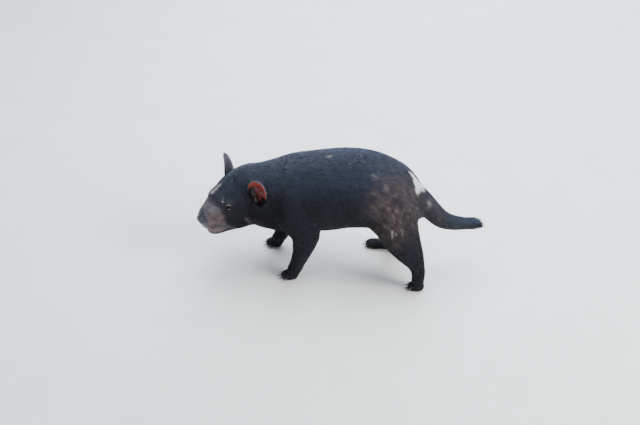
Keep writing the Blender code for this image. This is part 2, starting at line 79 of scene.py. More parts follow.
# Floor and light.
# A plain pale studio floor under a broad cool ceiling light, with a whiter window light behind the tail, a
# cool light over the far side and a weak fill from the camera's side. None of it is part of the animal.
FLOOR_HALF = 30.0
FLOOR_COLOUR = np.array([0.70, 0.69, 0.67])
FLOOR_MOTTLE = 0.96  # how much of its brightness the darker patches keep
LIGHTS = (  # name, from, aimed at, side, watts, colour
    ("ceiling", (0.1, 0.8, 2.5), (0, 0, 0.1), 2.4, 185, (0.82, 0.91, 1.0)),
    ("window", (2.3, -0.9, 1.9), (0.14, 0, 0.2), 1.2, 115, (1.0, 0.98, 0.97)),
    ("fill", (-1.9, -1.6, 1.9), (-0.1, 0, 0.15), 1.2, 20, (1.0, 0.97, 0.94)),
    ("back", (0.3, 2.6, 1.5), (0, 0, 0.25), 2.2, 125, (0.72, 0.85, 1.0)),
)
ROOM_COLOUR = (0.78, 0.83, 0.9, 1)
ROOM_STRENGTH = 0.27


class Wire:
    """A node's output. Sums and products on it are written as in Python, and add Math nodes."""

    def __init__(self, tree, output):
        self.tree, self.output = tree, output

    def node(self, kind, settings=None, sockets=None, out=0):
        made = self.tree.nodes.new(kind)
        for name, value in (settings or {}).items():
            setattr(made, name, value)
        for key, value in (sockets or {}).items():
            if isinstance(value, Wire):
                self.tree.links.new(value.output, made.inputs[key])
            else:
                made.inputs[key].default_value = value
        return Wire(self.tree, made.outputs[out])

    def math(self, operation, other):
        return self.node("ShaderNodeMath", {"operation": operation}, {0: self, 1: other})

    def __add__(self, other):
        return self.math("ADD", other)

    def __mul__(self, other):
        return self.math("MULTIPLY", other)

    def __rsub__(self, other):
        return (self * -1.0) + other

    __radd__, __rmul__ = __add__, __mul__

    def within(self, low, high):
        """0 at low, 1 at high, smooth between them."""
        sockets = {0: self, 1: low, 2: high, 3: 0.0, 4: 1.0}
        return self.node("ShaderNodeMapRange", {"interpolation_type": "SMOOTHSTEP"}, sockets)

    def tint(self, first, second):
        """A colour, first where this mask is 0 and second where it is 1."""
        first, second = (c if isinstance(c, Wire) else (*c, 1) for c in (first, second))
        return self.node("ShaderNodeMix", {"data_type": "RGBA"}, {0: self, 6: first, 7: second}, out=2)


def finish_material(name, constants, recipe):
    """A Principled material: constants set on its own sockets, and what recipe(start) gives linked to it."""
    made = bpy.data.materials.new(name)
    made.use_nodes = True
    shader = made.node_tree.nodes["Principled BSDF"]
    for socket, value in constants.items():
        shader.inputs[socket].default_value = value
    start = Wire(made.node_tree, None)
    for socket, wire in recipe(start).items():
        made.node_tree.links.new(wire.output, shader.inputs[socket])
    return made


def place_of(start):
    return start.node("ShaderNodeTexCoord", out=3)


def noise(start, where, scale, detail=3.0, roughness=0.55):
    sockets = {"Vector": where, "Scale": scale, "Detail": detail, "Roughness": roughness}
    return start.node("ShaderNodeTexNoise", None, sockets)


def floor_recipe(start):
    grain = noise(start, place_of(start), 9.0)
    return {"Base Color": grain.within(0.3, 0.7).tint(FLOOR_COLOUR, FLOOR_COLOUR * FLOOR_MOTTLE)}


floor_mesh = bpy.data.meshes.new("floor")
floor_mesh.from_pydata(
    [(x, y, 0) for x, y in ((-1, -1), (1, -1), (1, 1), (-1, 1))], [], [(0, 1, 2, 3)]
)
floor_mesh.transform(Matrix.Scale(FLOOR_HALF, 4))
floor_mesh.materials.append(finish_material("floor", {"Roughness": 0.9}, floor_recipe))
floor = bpy.data.objects.new("floor", floor_mesh)
bpy.context.collection.objects.link(floor)
for name, place, at, side, watts, colour in LIGHTS:
    lamp = bpy.data.lights.new(name, "AREA")
    lamp.size, lamp.energy, lamp.color = side, watts, colour
    light = bpy.data.objects.new(name, lamp)
    light.location = place
    light.rotation_euler = (Vector(place) - Vector(at)).to_track_quat("Z", "Y").to_euler()
    bpy.context.collection.objects.link(light)
room = bpy.data.worlds.new("room")
room.use_nodes = True
room.node_tree.nodes["Background"].inputs["Color"].default_value = ROOM_COLOUR
room.node_tree.nodes["Background"].inputs["Strength"].default_value = ROOM_STRENGTH
bpy.context.scene.world = room


# Skin.
# One hide over trunk, head, legs, feet and tail. It lies inside the solids by the depth of the coat that
# grows on it, and is bare on the muzzle, the lips, the lids, the ears' roots and the soles.
FLESH = (
    "torso neck head tail_root tail_end leg_front_left leg_front_right leg_hind_left leg_hind_right "
    "foot_front_left foot_front_right foot_hind_left foot_hind_right"
).split()
SKIN_VOXEL = 0.0009
GAP_FILL = 0.00035  # closes the thin cuts between the nodes
SKIN_TRIANGLES = 185000
HEAD = (  # x ahead, y to the animal's left, z up, all in metres from between the ears
    Matrix.Translation((-0.2316, -0.0084, 0.195))
    @ Matrix.Rotation(math.pi + math.radians(41.5), 4, "Z")
    @ Matrix.Rotation(math.radians(12), 4, "Y")
    @ Matrix.Rotation(math.radians(-3.5), 4, "X")
)
COAT_DEPTH = {  # how far a node's coat stands off the skin
    "torso": 0.0058,
    "neck": 0.0050,
    "head": 0.0026,
    "tail_root": 0.0042,
    "tail_end": 0.0042,
    "leg": 0.0026,
    "foot": 0.0007,
}


def kind_of(node):
    return node.split("_")[0] if node[:3] in ("leg", "foo") else node


def mesh_object(name, verts, faces, material=None):
    mesh = bpy.data.meshes.new(name)
    mesh.from_pydata([tuple(v) for v in verts], [], faces)
    mesh.update()
    obj = bpy.data.objects.new(name, mesh)
    bpy.context.collection.objects.link(obj)
    if material:
        mesh.materials.append(material)
    return obj


def evaluated(obj, name):
    """Replaces obj's mesh by what its modifiers make of it, and removes them."""
    bpy.context.view_layer.update()
    mesh = bpy.data.meshes.new_from_object(obj.evaluated_get(bpy.context.evaluated_depsgraph_get()))
    obj.modifiers.clear()
    old, obj.data = obj.data, mesh
    bpy.data.meshes.remove(old)
    mesh.name = name
    return obj


def merged_copy(bm, node):
    """Adds a node's faces to bm with their doubles merged."""
    one = bmesh.new()
    one.from_mesh(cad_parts[node].data)
    bmesh.ops.remove_doubles(one, verts=one.verts, dist=1e-5)
    mesh = bpy.data.meshes.new("copy")
    one.to_mesh(mesh)
    one.free()
    bm.from_mesh(mesh)
    bpy.data.meshes.remove(mesh)


def array(mesh, what="co"):
    """A mesh's places or normals as rows."""
    rows = np.empty(len(mesh.vertices) * 3, np.float32)
    mesh.vertices.foreach_get(what, rows) if what == "co" else mesh.vertex_normals.foreach_get("vector", rows)
    return rows.reshape(-1, 3).astype(np.float64)


def ends(mesh):
    rows = np.empty(len(mesh.edges) * 2, np.int32)
    mesh.edges.foreach_get("vertices", rows)
    return rows.reshape(-1, 2)


def averaged(values, pairs, rounds, share):
    """Each vertex's values moved towards its neighbours' mean; share may differ from vertex to vertex."""
    count = len(values)
    a, b = pairs[:, 0], pairs[:, 1]
    degree = np.maximum(np.bincount(a, minlength=count) + np.bincount(b, minlength=count), 1)[:, None]
    share = np.broadcast_to(np.asarray(share, float).reshape(-1, 1), (count, 1))
    for _ in range(rounds):
        total = np.stack(
            [
                np.bincount(a, values[b, k], count) + np.bincount(b, values[a, k], count)
                for k in range(values.shape[1])
            ],
            1,
        )
        values = values + share * (total / degree - values)
    return values


def step(x, low, high):
    t = np.clip((x - low) / (high - low), 0, 1)
    return t * t * (3 - 2 * t)


def in_head(points):
    inverse = np.array(HEAD.inverted())
    return points @ inverse[:3, :3].T + inverse[:3, 3]


def from_head(points):
    matrix = np.array(HEAD)
    return np.asarray(points) @ matrix[:3, :3].T + matrix[:3, 3]


def off(points, centre, radii=(1, 1, 1)):
    """Distance from a centre, in units of the radii."""
    return np.linalg.norm((points - np.asarray(centre)) / np.asarray(radii), axis=1)


EYE_FRONT = (0.0619, 0.0389, 0.0128)  # the left eye's front, in the head
MUZZLE_BARE = 0.86  # the share of the hairs that are missing on the muzzle
MUZZLE_EDGE = (0.0705, 0.0870)  # ahead, where the fur gives way to bare skin
CHIN_EDGE = (-0.0610, -0.0545)  # height, where the bare skin ends below
BROW_SPOT = (0.0665, 0.0229, 0.0217)  # the pale root of the whiskers over the left eye
MOUTH_AHEAD = (0.050, 0.063, 0.078, 0.093, 0.105, 0.109)  # the mouth's line, from its corner forwards
MOUTH_HEIGHT = (-0.0405, -0.0420, -0.0420, -0.0405, -0.0395, -0.0390)
EYE_BARE, SPOT_BARE = (0.0052, 0.0080), (0.0020, 0.0042)  # from bare to full coat, away from their middles
LIPS, LIPS_RADII = (0.090, 0.020, -0.0445), (0.030, 0.022, 0.0080)
EAR_BOWL, EAR_BOWL_RADII = (0.000, 0.066, 0.026), (0.016, 0.016, 0.024)
PAD_EDGE = (0.1070, 0.1110)  # ahead, where the nose's pad begins and no hair grows at all
NEAR_FACE = Vector((-0.27, -0.04, 0.17))  # the middle of the face; the face's marks stay near it


def muzzle_mask(side):
    """1 on the bare muzzle, by places in the head's left half.

    Its edge runs up from the mouth's corner, ahead of the eye, and swings forward towards the bridge.
    """
    edge = side[:, 0] + 0.30 * np.minimum(side[:, 1] - 0.025, 0)
    return step(edge + 0.0014 * ripple(side, 0.008, 8), *MUZZLE_EDGE) * step(side[:, 2], *CHIN_EDGE)


def bareness(points):
    """1 on the muzzle, the lips, round the eyes and under the feet, where no coat grows."""
    face = in_head(points)
    side = np.stack([face[:, 0], np.abs(face[:, 1]), face[:, 2]], 1)
    eye = 1 - step(off(side, EYE_FRONT), *EYE_BARE)
    spot = 1 - step(off(side, BROW_SPOT), *SPOT_BARE)
    lips = 1 - step(off(side, LIPS, LIPS_RADII), 0.8, 1.1)
    ears = 1 - step(off(side, EAR_BOWL, EAR_BOWL_RADII), 0.80, 1.0)
    sole = step(-points[:, 2], -0.004, -0.001)
    near = step(-off(points, NEAR_FACE), -0.16, -0.13)
    pad = step(side[:, 0] + 0.25 * (side[:, 2] + 0.015), *PAD_EDGE)
    muzzle = np.maximum(MUZZLE_BARE * muzzle_mask(side), pad)
    return np.maximum(np.maximum.reduce([muzzle, eye, spot, lips, ears]) * near, sole)


bm = bmesh.new()
for node in FLESH:
    merged_copy(bm, node)
bm.normal_update()
for v in bm.verts:
    v.co += v.normal * GAP_FILL
skin_mesh = bpy.data.meshes.new("skin")
bm.to_mesh(skin_mesh)
bm.free()
skin = bpy.data.objects.new("skin", skin_mesh)
bpy.context.collection.objects.link(skin)
remesh = skin.modifiers.new("remesh", "REMESH")
remesh.mode, remesh.voxel_size = "VOXEL", SKIN_VOXEL
evaluated(skin, "skin")

spots = array(skin.data)
pairs = ends(skin.data)
face = in_head(spots)
on_face = step(face[:, 0], 0.030, 0.050) * step(-off(spots, NEAR_FACE), -0.11, -0.09)
on_foot = step(-spots[:, 2], -0.055, -0.035)
spots = averaged(spots, pairs, 16, 0.6 * (1 - 0.80 * np.maximum(on_face, on_foot)))
skin.data.vertices.foreach_set("co", spots.astype(np.float32).ravel())
keep = skin.vertex_groups.new(name="keep")
for weight in (0.5, 1.0):
    chosen = np.nonzero(np.maximum(on_face, 0.5 * on_foot) >= weight * 0.9)[0]
    keep.add(chosen.tolist(), weight, "REPLACE")
thin = skin.modifiers.new("thin", "DECIMATE")
thin.ratio = SKIN_TRIANGLES / (2.0 * len(skin.data.polygons))
thin.vertex_group, thin.vertex_group_factor, thin.invert_vertex_group = "keep", 0.5, True
thin.use_collapse_triangulate = True
evaluated(skin, "skin")

triangles, owners = [], []
corner_places = []
for node in FLESH:
    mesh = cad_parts[node].data
    mesh.calc_loop_triangles()
    start = len(corner_places)
    corner_places += [v.co.copy() for v in mesh.vertices]
    triangles += [tuple(start + i for i in t.vertices) for t in mesh.loop_triangles]
    owners += [node] * len(mesh.loop_triangles)
solids = BVHTree.FromPolygons(corner_places, triangles)
KINDS = list(COAT_DEPTH)
spots, normals, pairs = array(skin.data), array(skin.data, "normal"), ends(skin.data)
belongs = [owners[solids.find_nearest(Vector(p))[2]] for p in spots]
share = np.array([[kind_of(b) == kind for kind in KINDS] for b in belongs], float)
share = averaged(share, pairs, 40, 0.5)
front = np.array(["front" in b for b in belongs], float)[:, None]
front = averaged(front, pairs, 20, 0.5)[:, 0]


def ripple(points, size, seed, waves=10):
    """Smooth seeded noise over space, about -1 to 1, with features of that size."""
    rng = np.random.default_rng(seed)
    turns = rng.normal(size=(waves, 3))
    turns *= (2 * math.pi / size) * (rng.uniform(0.6, 1.5, waves) / np.linalg.norm(turns, axis=1))[:, None]
    return np.sin(points @ turns.T + rng.uniform(0, 2 * math.pi, waves)).sum(1) / math.sqrt(waves)


def unit(rows):
    return rows / np.maximum(np.linalg.norm(rows, axis=1), 1e-9)[:, None]


def along_surface(rows, normals):
    return unit(rows - normals * (rows * normals).sum(1)[:, None])


def lie_of(points, normals, share, front):
    """The way the coat lies.

    It runs from the nose back over the head, along the trunk and down its sides, down the legs, out over the
    toes, and along the tail.
    """
    sideways = np.abs(normals[:, 1])[:, None]
    rows = np.zeros_like(points)
    torso = np.array([1, 0, 0]) - np.array([0, 0, 0.50]) * sideways
    rump = step(points[:, 0], 0.10, 0.19)[:, None]
    torso = torso * (1 - rump) + rump * np.array([0.75, 0, -0.75])
    neck = np.array([1, 0.12, 0]) - np.array([0, 0, 0.35]) * sideways
    head = unit(points - np.array(from_head([(0.135, 0, -0.012)])))
    leg = front[:, None] * np.array([0.25, 0, -1]) + (1 - front[:, None]) * np.array([0.40, 0, -1])
    foot = np.tile([-0.8, -0.1, -0.5], (len(points), 1))
    tail_root = np.tile([0.55, 0.05, -0.85], (len(points), 1))
    tail_end = np.tile([1, 0.38, -0.18], (len(points), 1))
    for kind, way in zip(KINDS, (torso, neck, head, tail_root, tail_end, leg, foot)):
        rows += share[:, KINDS.index(kind)][:, None] * way
    return along_surface(rows, normals)


lie = lie_of(spots, normals, share, front)
for _ in range(3):
    lie = along_surface(averaged(lie, pairs, 6, 0.5), normals)
bare = bareness(spots)
depth = share @ np.array([COAT_DEPTH[kind] for kind in KINDS])
face = in_head(spots)
nearness = step(face[:, 0], -0.02, 0.070) * share[:, KINDS.index("head")]
depth = depth * (1 - 0.75 * nearness)
depth = averaged((depth * (1 - bare))[:, None], pairs, 6, 0.5)[:, 0]
spots = spots - normals * depth[:, None]
skin.data.vertices.foreach_set("co", spots.astype(np.float32).ravel())
skin.data.update()
normals = array(skin.data, "normal")


BLAZE = (  # balls of white along the rump, left of the spine: middle and radius
    ((0.1560, 0.0075, 0.2635), 0.0042),
    ((0.1625, 0.0050, 0.2560), 0.0072),
    ((0.1690, 0.0000, 0.2485), 0.0108),
    ((0.1740, -0.0050, 0.2425), 0.0128),
    ((0.1800, 0.0050, 0.2340), 0.0120),
    ((0.1765, -0.0110, 0.2370), 0.0112),
    ((0.1745, -0.0200, 0.2340), 0.0078),
)
FLECKS = (  # pale worn spots: middle and radius
    ((0.1262, -0.0934, 0.1569), 0.0062),
    ((0.1485, -0.0909, 0.1624), 0.0048),
    ((0.1350, -0.0930, 0.1560), 0.0040),
    ((-0.0322, -0.0113, 0.3014), 0.0042),
    ((0.2035, -0.0156, 0.1967), 0.0075),
    ((0.0744, -0.0528, 0.2807), 0.0046),
)
TAN_SPOTS = (
    ((0.1241, -0.0835, 0.1966), 0.0085),
    ((0.1323, -0.0780, 0.2125), 0.0075),
    ((0.1141, -0.0779, 0.2165), 0.0060),
    ((0.1426, -0.0834, 0.1843), 0.0065),
    ((0.1046, -0.0600, 0.2600), 0.0060),
)
FOREHEAD_SHEEN = (  # painted sheen: paler hairs along the right of the forehead, where the brow catches the light, in the head
    ((0.0640, -0.0220, 0.0230), 0.0075),
    ((0.0550, -0.0220, 0.0280), 0.0085),
    ((0.0461, -0.0210, 0.0320), 0.0075),
)
HAUNCH, HAUNCH_RADII = (0.132, 0.070, 0.212), (0.084, 0.085, 0.105)
TAIL_BROWN = (0.205, 0.0, 0.175)


def marks(points):
    """The coat's markings, each 0 to 1: white blaze, pale flecks with a painted forehead sheen, tan spots and
    the brown of the haunches.

    Brown also stands for the thin hair on the muzzle, and worn for where the coat is thin.
    """
    blur = ripple(points, 0.010, 3)
    blaze = np.min([off(points, centre) - radius for centre, radius in BLAZE], axis=0) + 0.0012 * blur
    side = np.stack([points[:, 0], np.abs(points[:, 1]), points[:, 2]], 1)
    edge = 0.09 * ripple(points, 0.050, 13)
    worn = step(edge - off(side, HAUNCH, HAUNCH_RADII), -1.14, -0.50) * np.where(points[:, 1] < 0, 1.0, 0.62)
    tail = 0.55 * step(-off(points, TAIL_BROWN), -0.060, -0.030)
    face = in_head(points)
    halved = np.abs(face) * (1, 1, 0) + face * (0, 0, 1)
    snout = muzzle_mask(halved) * step(-off(points, NEAR_FACE), -0.14, -0.12)
    # Painted sheen along the right of the forehead, joined to the pale flecks.
    near_forehead_sheen = np.min([off(face, centre) / radius for centre, radius in FOREHEAD_SHEEN], axis=0)
    forehead_sheen = 0.62 * step(0.35 * blur - near_forehead_sheen, -1.5, -0.2)
    mottle = np.clip(0.66 + 0.30 * ripple(points, 0.020, 5) + 0.18 * ripple(points, 0.008, 6), 0, 1)

    def spots_of(table):
        near = np.min([off(points, centre, (0.8, 1.0, 1.7)) / radius for centre, radius in table], axis=0)
        return 1 - step(near + 0.45 * blur, 0.2, 1.3)

    return {
        "white": 1 - step(blaze, -0.0008, 0.0012),
        "fleck_and_sheen": np.maximum(0.62 * spots_of(FLECKS), forehead_sheen),
        "tan": np.maximum(0.45 * spots_of(TAN_SPOTS), 0.35 * worn * step(ripple(points, 0.013, 9), 1.0, 1.8)),
        "brown": np.maximum(np.maximum(worn, tail) * mottle, snout),
        "worn": worn,
    }


def keep_number(mesh, name, values):
    mesh.attributes.new(name, "FLOAT", "POINT").data.foreach_set("value", np.asarray(values, np.float32))


def upward(normals, share):
    """Painted sheen: 1 where the coat faces up and is painted lighter and bluer, near 0 on the dull black
    belly and legs.
    """
    legs = share[:, KINDS.index("leg")] + share[:, KINDS.index("foot")]
    on_head, on_tail = share[:, KINDS.index("head")], share[:, KINDS.index("tail_end")]
    by_part = 1 - 0.85 * legs - 0.48 * on_head
    return np.clip(step(normals[:, 2], -0.05, 0.95) * by_part + 0.30 * on_tail, 0, 1)


NOSE_EDGE, NOSE_FOOT = (0.1128, 0.1150), (-0.031, -0.027)  # ahead, and height, where the nose's pad begins
LIP_TOP, LIP_FOOT, LIP_BACK = (0.0440, 0.0475), (-0.0600, -0.0550), (0.0800, 0.0860)
hide_marks = marks(spots)
worn = hide_marks.pop("worn")
face = in_head(spots)
side = np.stack([face[:, 0], np.abs(face[:, 1]), face[:, 2]], 1)
on_head = share[:, KINDS.index("head")]
nose = step(face[:, 0] + 0.30 * (face[:, 2] + 0.015), *NOSE_EDGE) * step(face[:, 2], *NOSE_FOOT)
lip = step(-face[:, 2], *LIP_TOP) * step(face[:, 2], *LIP_FOOT) * step(side[:, 0], *LIP_BACK)
# A painted shadow along the mouth's line, between the lips.
from_mouth = np.abs(side[:, 2] - np.interp(side[:, 0], MOUTH_AHEAD, MOUTH_HEIGHT))
mouth_shade = (1 - step(from_mouth, 0.0006, 0.0019)) * step(side[:, 0], 0.056, 0.068)
hide_numbers = {
    # painted sheen: the coat's colour lighter and bluer where it faces up
    "painted_sheen": upward(normals, share),
    "nose": nose * on_head,
    "lip": lip * on_head,
    "muzzle": muzzle_mask(side) * on_head,
    "mouth_shade": mouth_shade * on_head,
    # the top of the muzzle: its own darker grey, with painted sheen where it faces up
    "bridge_sheen": step(face[:, 2] - 0.35 * side[:, 1], -0.012, 0.004) * on_head,
    # bare lid skin painted paler round the eye, as the highlight on the wet lid
    "spot": 1 - step(off(side, BROW_SPOT), 0.0015, 0.0036),
    "lid_highlight": 1 - step(off(side, EYE_FRONT), 0.0050, 0.0072),
    # painted shade in the bowls round the ears' roots
    "ear_root_shade": 1 - step(off(side, EAR_BOWL, (0.022, 0.022, 0.030)), 0.8, 1.0),
    "sole": step(-spots[:, 2], -0.006, -0.002),
}
for name, values in (hide_marks | hide_numbers).items():
    keep_number(skin.data, name, values)


def number(start, name):
    return start.node("ShaderNodeAttribute", {"attribute_name": name}, out=2)


def bump(height, strength, distance):
    return height.node("ShaderNodeBump", None, {"Strength": strength, "Distance": distance, "Height": height})


# The coat's colours: black and dull where no painted sheen falls, dark and light where it faces up and is
# painted lighter and bluer.
FUR_BLACK, FUR_DULL = (0.0010, 0.0010, 0.0014), (0.0040, 0.0040, 0.0056)
FUR_DARK, FUR_SHEEN_LIGHT = (0.0080, 0.0104, 0.0190), (0.0410, 0.0530, 0.0970)
FUR_BROWN, FUR_TAN, FUR_PALE = (0.054, 0.040, 0.040), (0.210, 0.150, 0.130), (0.46, 0.40, 0.38)
FUR_WHITE, FUR_CREAM = (0.96, 0.96, 0.98), (0.88, 0.88, 0.90)
# The second colour is a painted highlight on the hair tips where the coat faces up.
FUR_WORN, FUR_TIP_SHEEN = (0.168, 0.126, 0.119), (0.060, 0.072, 0.115)
MUZZLE_DARK, MUZZLE_PINK = (0.047, 0.031, 0.033), (0.100, 0.069, 0.072)
# The top of the muzzle: a darker grey of its own, and a lilac grey that is painted sheen where it faces up.
BRIDGE_DARK, BRIDGE_SHEEN_GREY = (0.042, 0.036, 0.043), (0.112, 0.099, 0.118)
LIP_DARK, LIP_PINK = (0.100, 0.061, 0.064), (0.165, 0.109, 0.112)
NOSE_DARK, NOSE_GREY = (0.020, 0.023, 0.028), (0.050, 0.056, 0.066)
# The bowl's dark is painted shade round the ears' roots.
# The mouth's dark is a painted shadow in the line between the lips.
UNDER_GREY, MOUTH_SHADE_DARK, BOWL_SHADE_DARK = (0.011, 0.011, 0.013), (0.010, 0.006, 0.007), (0.020, 0.010, 0.011)
# The lids' pale is their bare skin painted paler as the highlight on the wet lid.
SPOT_PALE, LID_HIGHLIGHT_PALE, SOLE_GREY = (0.200, 0.175, 0.180), (0.130, 0.110, 0.122), (0.060, 0.046, 0.046)
PORES = 900.0  # to the metre


def skin_recipe(start):
    place = place_of(start)
    fine, broad = noise(start, place, PORES, 4.0), noise(start, place, 70.0, 3.0)
    grain, patches = fine.within(0.3, 0.7), broad.within(0.3, 0.7)
    under = broad.within(0.35, 0.65).tint(FUR_DARK, UNDER_GREY)
    under = number(start, "brown").tint(under, FUR_BROWN)
    under = number(start, "tan").tint(under, FUR_TAN)
    # Pale flecks, and the painted sheen on the forehead.
    under = number(start, "fleck_and_sheen").tint(under, FUR_PALE)
    under = number(start, "white").tint(under, FUR_CREAM)
    # The muzzle's top mixes its darker grey with a lilac grey painted as sheen.
    muzzle, bridge_sheen = patches.tint(MUZZLE_DARK, MUZZLE_PINK), patches.tint(BRIDGE_DARK, BRIDGE_SHEEN_GREY)
    under = number(start, "muzzle").tint(under, number(start, "bridge_sheen").tint(muzzle, bridge_sheen))
    under = number(start, "lip").tint(under, grain.tint(LIP_DARK, LIP_PINK))
    # painted shadow along the mouth's line
    under = (number(start, "mouth_shade") * 0.85).tint(under, MOUTH_SHADE_DARK)
    under = number(start, "nose").tint(under, grain.tint(NOSE_DARK, NOSE_GREY))
    under = number(start, "spot").tint(under, SPOT_PALE)
    # bare lids painted paler as a highlight on the wet lid
    under = number(start, "lid_highlight").tint(under, LID_HIGHLIGHT_PALE)
    # painted shade round the ears' roots
    under = number(start, "ear_root_shade").tint(under, BOWL_SHADE_DARK)
    under = number(start, "sole").tint(under, SOLE_GREY)
    sockets = {"Vector": place, "Scale": PORES, "Smoothness": 0.6}
    pebbles = start.node("ShaderNodeTexVoronoi", {"feature": "SMOOTH_F1"}, sockets)
    dry = 0.58 - 0.25 * number(start, "nose")
    return {"Base Color": under, "Roughness": dry, "Normal": bump(0.6 * pebbles + 0.5 * fine, 0.35, 0.0006)}


skin.data.materials.clear()
skin.data.materials.append(finish_material("hide", {"IOR": 1.42}, skin_recipe))
skin.data.polygons.foreach_set("use_smooth", np.ones(len(skin.data.polygons), bool))
skin.vertex_groups.clear()
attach(skin, "root")
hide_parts(*FLESH)


# Coat.
# Short, sleek, coarse hair, black, its colour painted lighter and blue-grey along the back as sheen. Each
# tuft is a closed blade of several hairs, sunk in the skin, that bends over and lies along the body.
COAT = {  # tufts per square centimetre, length, width
    "torso": (74.0, 0.0260, 0.00095),
    "neck": (78.0, 0.0210, 0.00090),
    "head": (92.0, 0.0095, 0.00070),
    "tail_root": (75.0, 0.0180, 0.00090),
    "tail_end": (140.0, 0.0280, 0.00080),
    "leg": (46.0, 0.0125, 0.00090),
    "foot": (85.0, 0.0046, 0.00060),
}
TUFTS = 236000  # at most
LONG_SHARE, LONGER, SLIMMER = 0.12, 1.35, 0.75  # guard hairs among the coat
CLUMP, GATHER = 12, 0.22  # tufts whose tips lean together, and how far of the way
WORN_THINNING = 0.35  # how much sparser and shorter the coat is on the haunches
MUZZLE_SHORTER, MUZZLE_SLIMMER = 0.55, 0.30
TUFTS_A_PIECE = 32000
rng = np.random.default_rng(11)
corners = np.empty(len(skin.data.polygons) * 3, np.int32)
skin.data.polygons.foreach_get("vertices", corners)
corners = corners.reshape(-1, 3)


def growth(column):
    return share @ np.array([COAT[kind][column] for kind in KINDS])


thick = growth(0) * 1e4 * (1 - bare) * (1 - WORN_THINNING * worn)
a, b, c = (spots[corners[:, k]] for k in range(3))
area = np.linalg.norm(np.cross(b - a, c - a), axis=1) / 2
chance = area * thick[corners].mean(1)
total = min(TUFTS, int(chance.sum()))
grown_on = rng.choice(len(corners), total, p=chance / chance.sum())
u, v = rng.random(total), rng.random(total)
flip = u + v > 1
u[flip], v[flip] = 1 - u[flip], 1 - v[flip]
weights = np.stack([1 - u - v, u, v], 1)


def at_roots(values):
    return (values[corners[grown_on]] * (weights if values.ndim == 1 else weights[:, :, None])).sum(1)


root = at_roots(spots)
root_normal = unit(at_roots(normals))
root_lie = along_surface(at_roots(lie), root_normal)
length, width = at_roots(growth(1)), at_roots(growth(2))
stands = at_roots(depth)
root_share = at_roots(share)
root_face = in_head(root)
snout = step(root_face[:, 0], 0.0, 0.075) * root_share[:, KINDS.index("head")]
length = length * (1 - MUZZLE_SHORTER * snout) * (1 - WORN_THINNING * at_roots(worn))
length = length * rng.uniform(0.75, 1.25, total)
width = width * (1 - MUZZLE_SLIMMER * snout) * rng.uniform(0.75, 1.25, total)
long_hair = rng.random(total) < LONG_SHARE
length, width = np.where(long_hair, length * LONGER, length), np.where(long_hair, width * SLIMMER, width)
swing = 0.12 * ripple(root, 0.060, 21) + 0.06 * ripple(root, 0.018, 22) + rng.normal(0, 0.07, total)
across = np.cross(root_normal, root_lie)
way = unit(root_lie * np.cos(swing)[:, None] + across * np.sin(swing)[:, None])

TAIL_TIP = (0.255, 0.305)  # along the body, where the hairs come away from the tail
TAIL_WAY = np.array([0.93, 0.35, -0.14])  # and the way they run on past its end
hide = BVHTree.FromPolygons([Vector(p) for p in spots], corners.tolist())
leaders = rng.choice(total, total // CLUMP, replace=False)
tree = KDTree(len(leaders))
for i, leader in enumerate(leaders):
    tree.insert(Vector(root[leader]), i)
tree.balance()
led_by = leaders[np.array([tree.find(Vector(p))[1] for p in root])]
loose = step(root[:, 0], *TAIL_TIP)[:, None]
length *= 1 - 0.45 * loose[:, 0]
way = unit(way + loose * (TAIL_WAY + 0.28 * root_normal - way))
tip_at = root + way * length[:, None]
tip_at += (tip_at[led_by] - tip_at) * GATHER


BEND_AT = 0.42  # of the way from root to tip
ROOT_DEPTH = 0.0010


def laid(points, heights):
    """Points set at those heights over the skin below them."""
    rows, ups = np.empty_like(points), np.empty_like(points)
    for i, p in enumerate(points):
        place, up, _, _ = hide.find_nearest(Vector(p))
        rows[i], ups[i] = place, up
    return rows + ups * heights[:, None], ups


lift = np.maximum(stands, 0.0004) * rng.uniform(0.65, 1.25, total)
middle, middle_up = laid(root + (tip_at - root) * BEND_AT, lift * 0.85)
tip, _ = laid(tip_at, lift)
middle += loose * (root + (tip_at - root) * BEND_AT + root_normal * (lift * 0.5)[:, None] - middle)
tip += loose * (tip_at + root_normal * (lift * 0.5)[:, None] - tip)


def spindles(start, middle, up, tip, width):
    """Five points a tuft: its root, three round its bend, and its tip."""
    sides = unit(np.cross(up, tip - start)) * (width / 2)[:, None]
    return np.stack([start, middle - sides, middle + sides, middle + up * (width * 0.45)[:, None], tip], 1)


SPINDLE = np.array([(0, 1, 3), (0, 3, 2), (0, 2, 1), (4, 3, 1), (4, 2, 3), (4, 1, 2)])
tufts = spindles(root - root_normal * ROOT_DEPTH, middle, middle_up, tip, width)
# with the painted sheen, by how each root faces
root_marks = marks(middle) | {"painted_sheen": upward(root_normal, root_share)}
root_marks.pop("worn")
streak = ripple(root - 0.85 * root_lie * (root * root_lie).sum(1)[:, None], 0.010, 33)
dice = np.clip(0.42 + 0.20 * rng.normal(size=total) + 0.16 * streak, 0, 1)

PATCH = 0.003  # a tuft's side on the bake map
spindle_uv = (np.array([(0.5, 0), (0, 0.42), (1, 0.42), (0.5, 0.5), (0.5, 1)]) - 0.5) * PATCH
POINTS = len(spindle_uv)


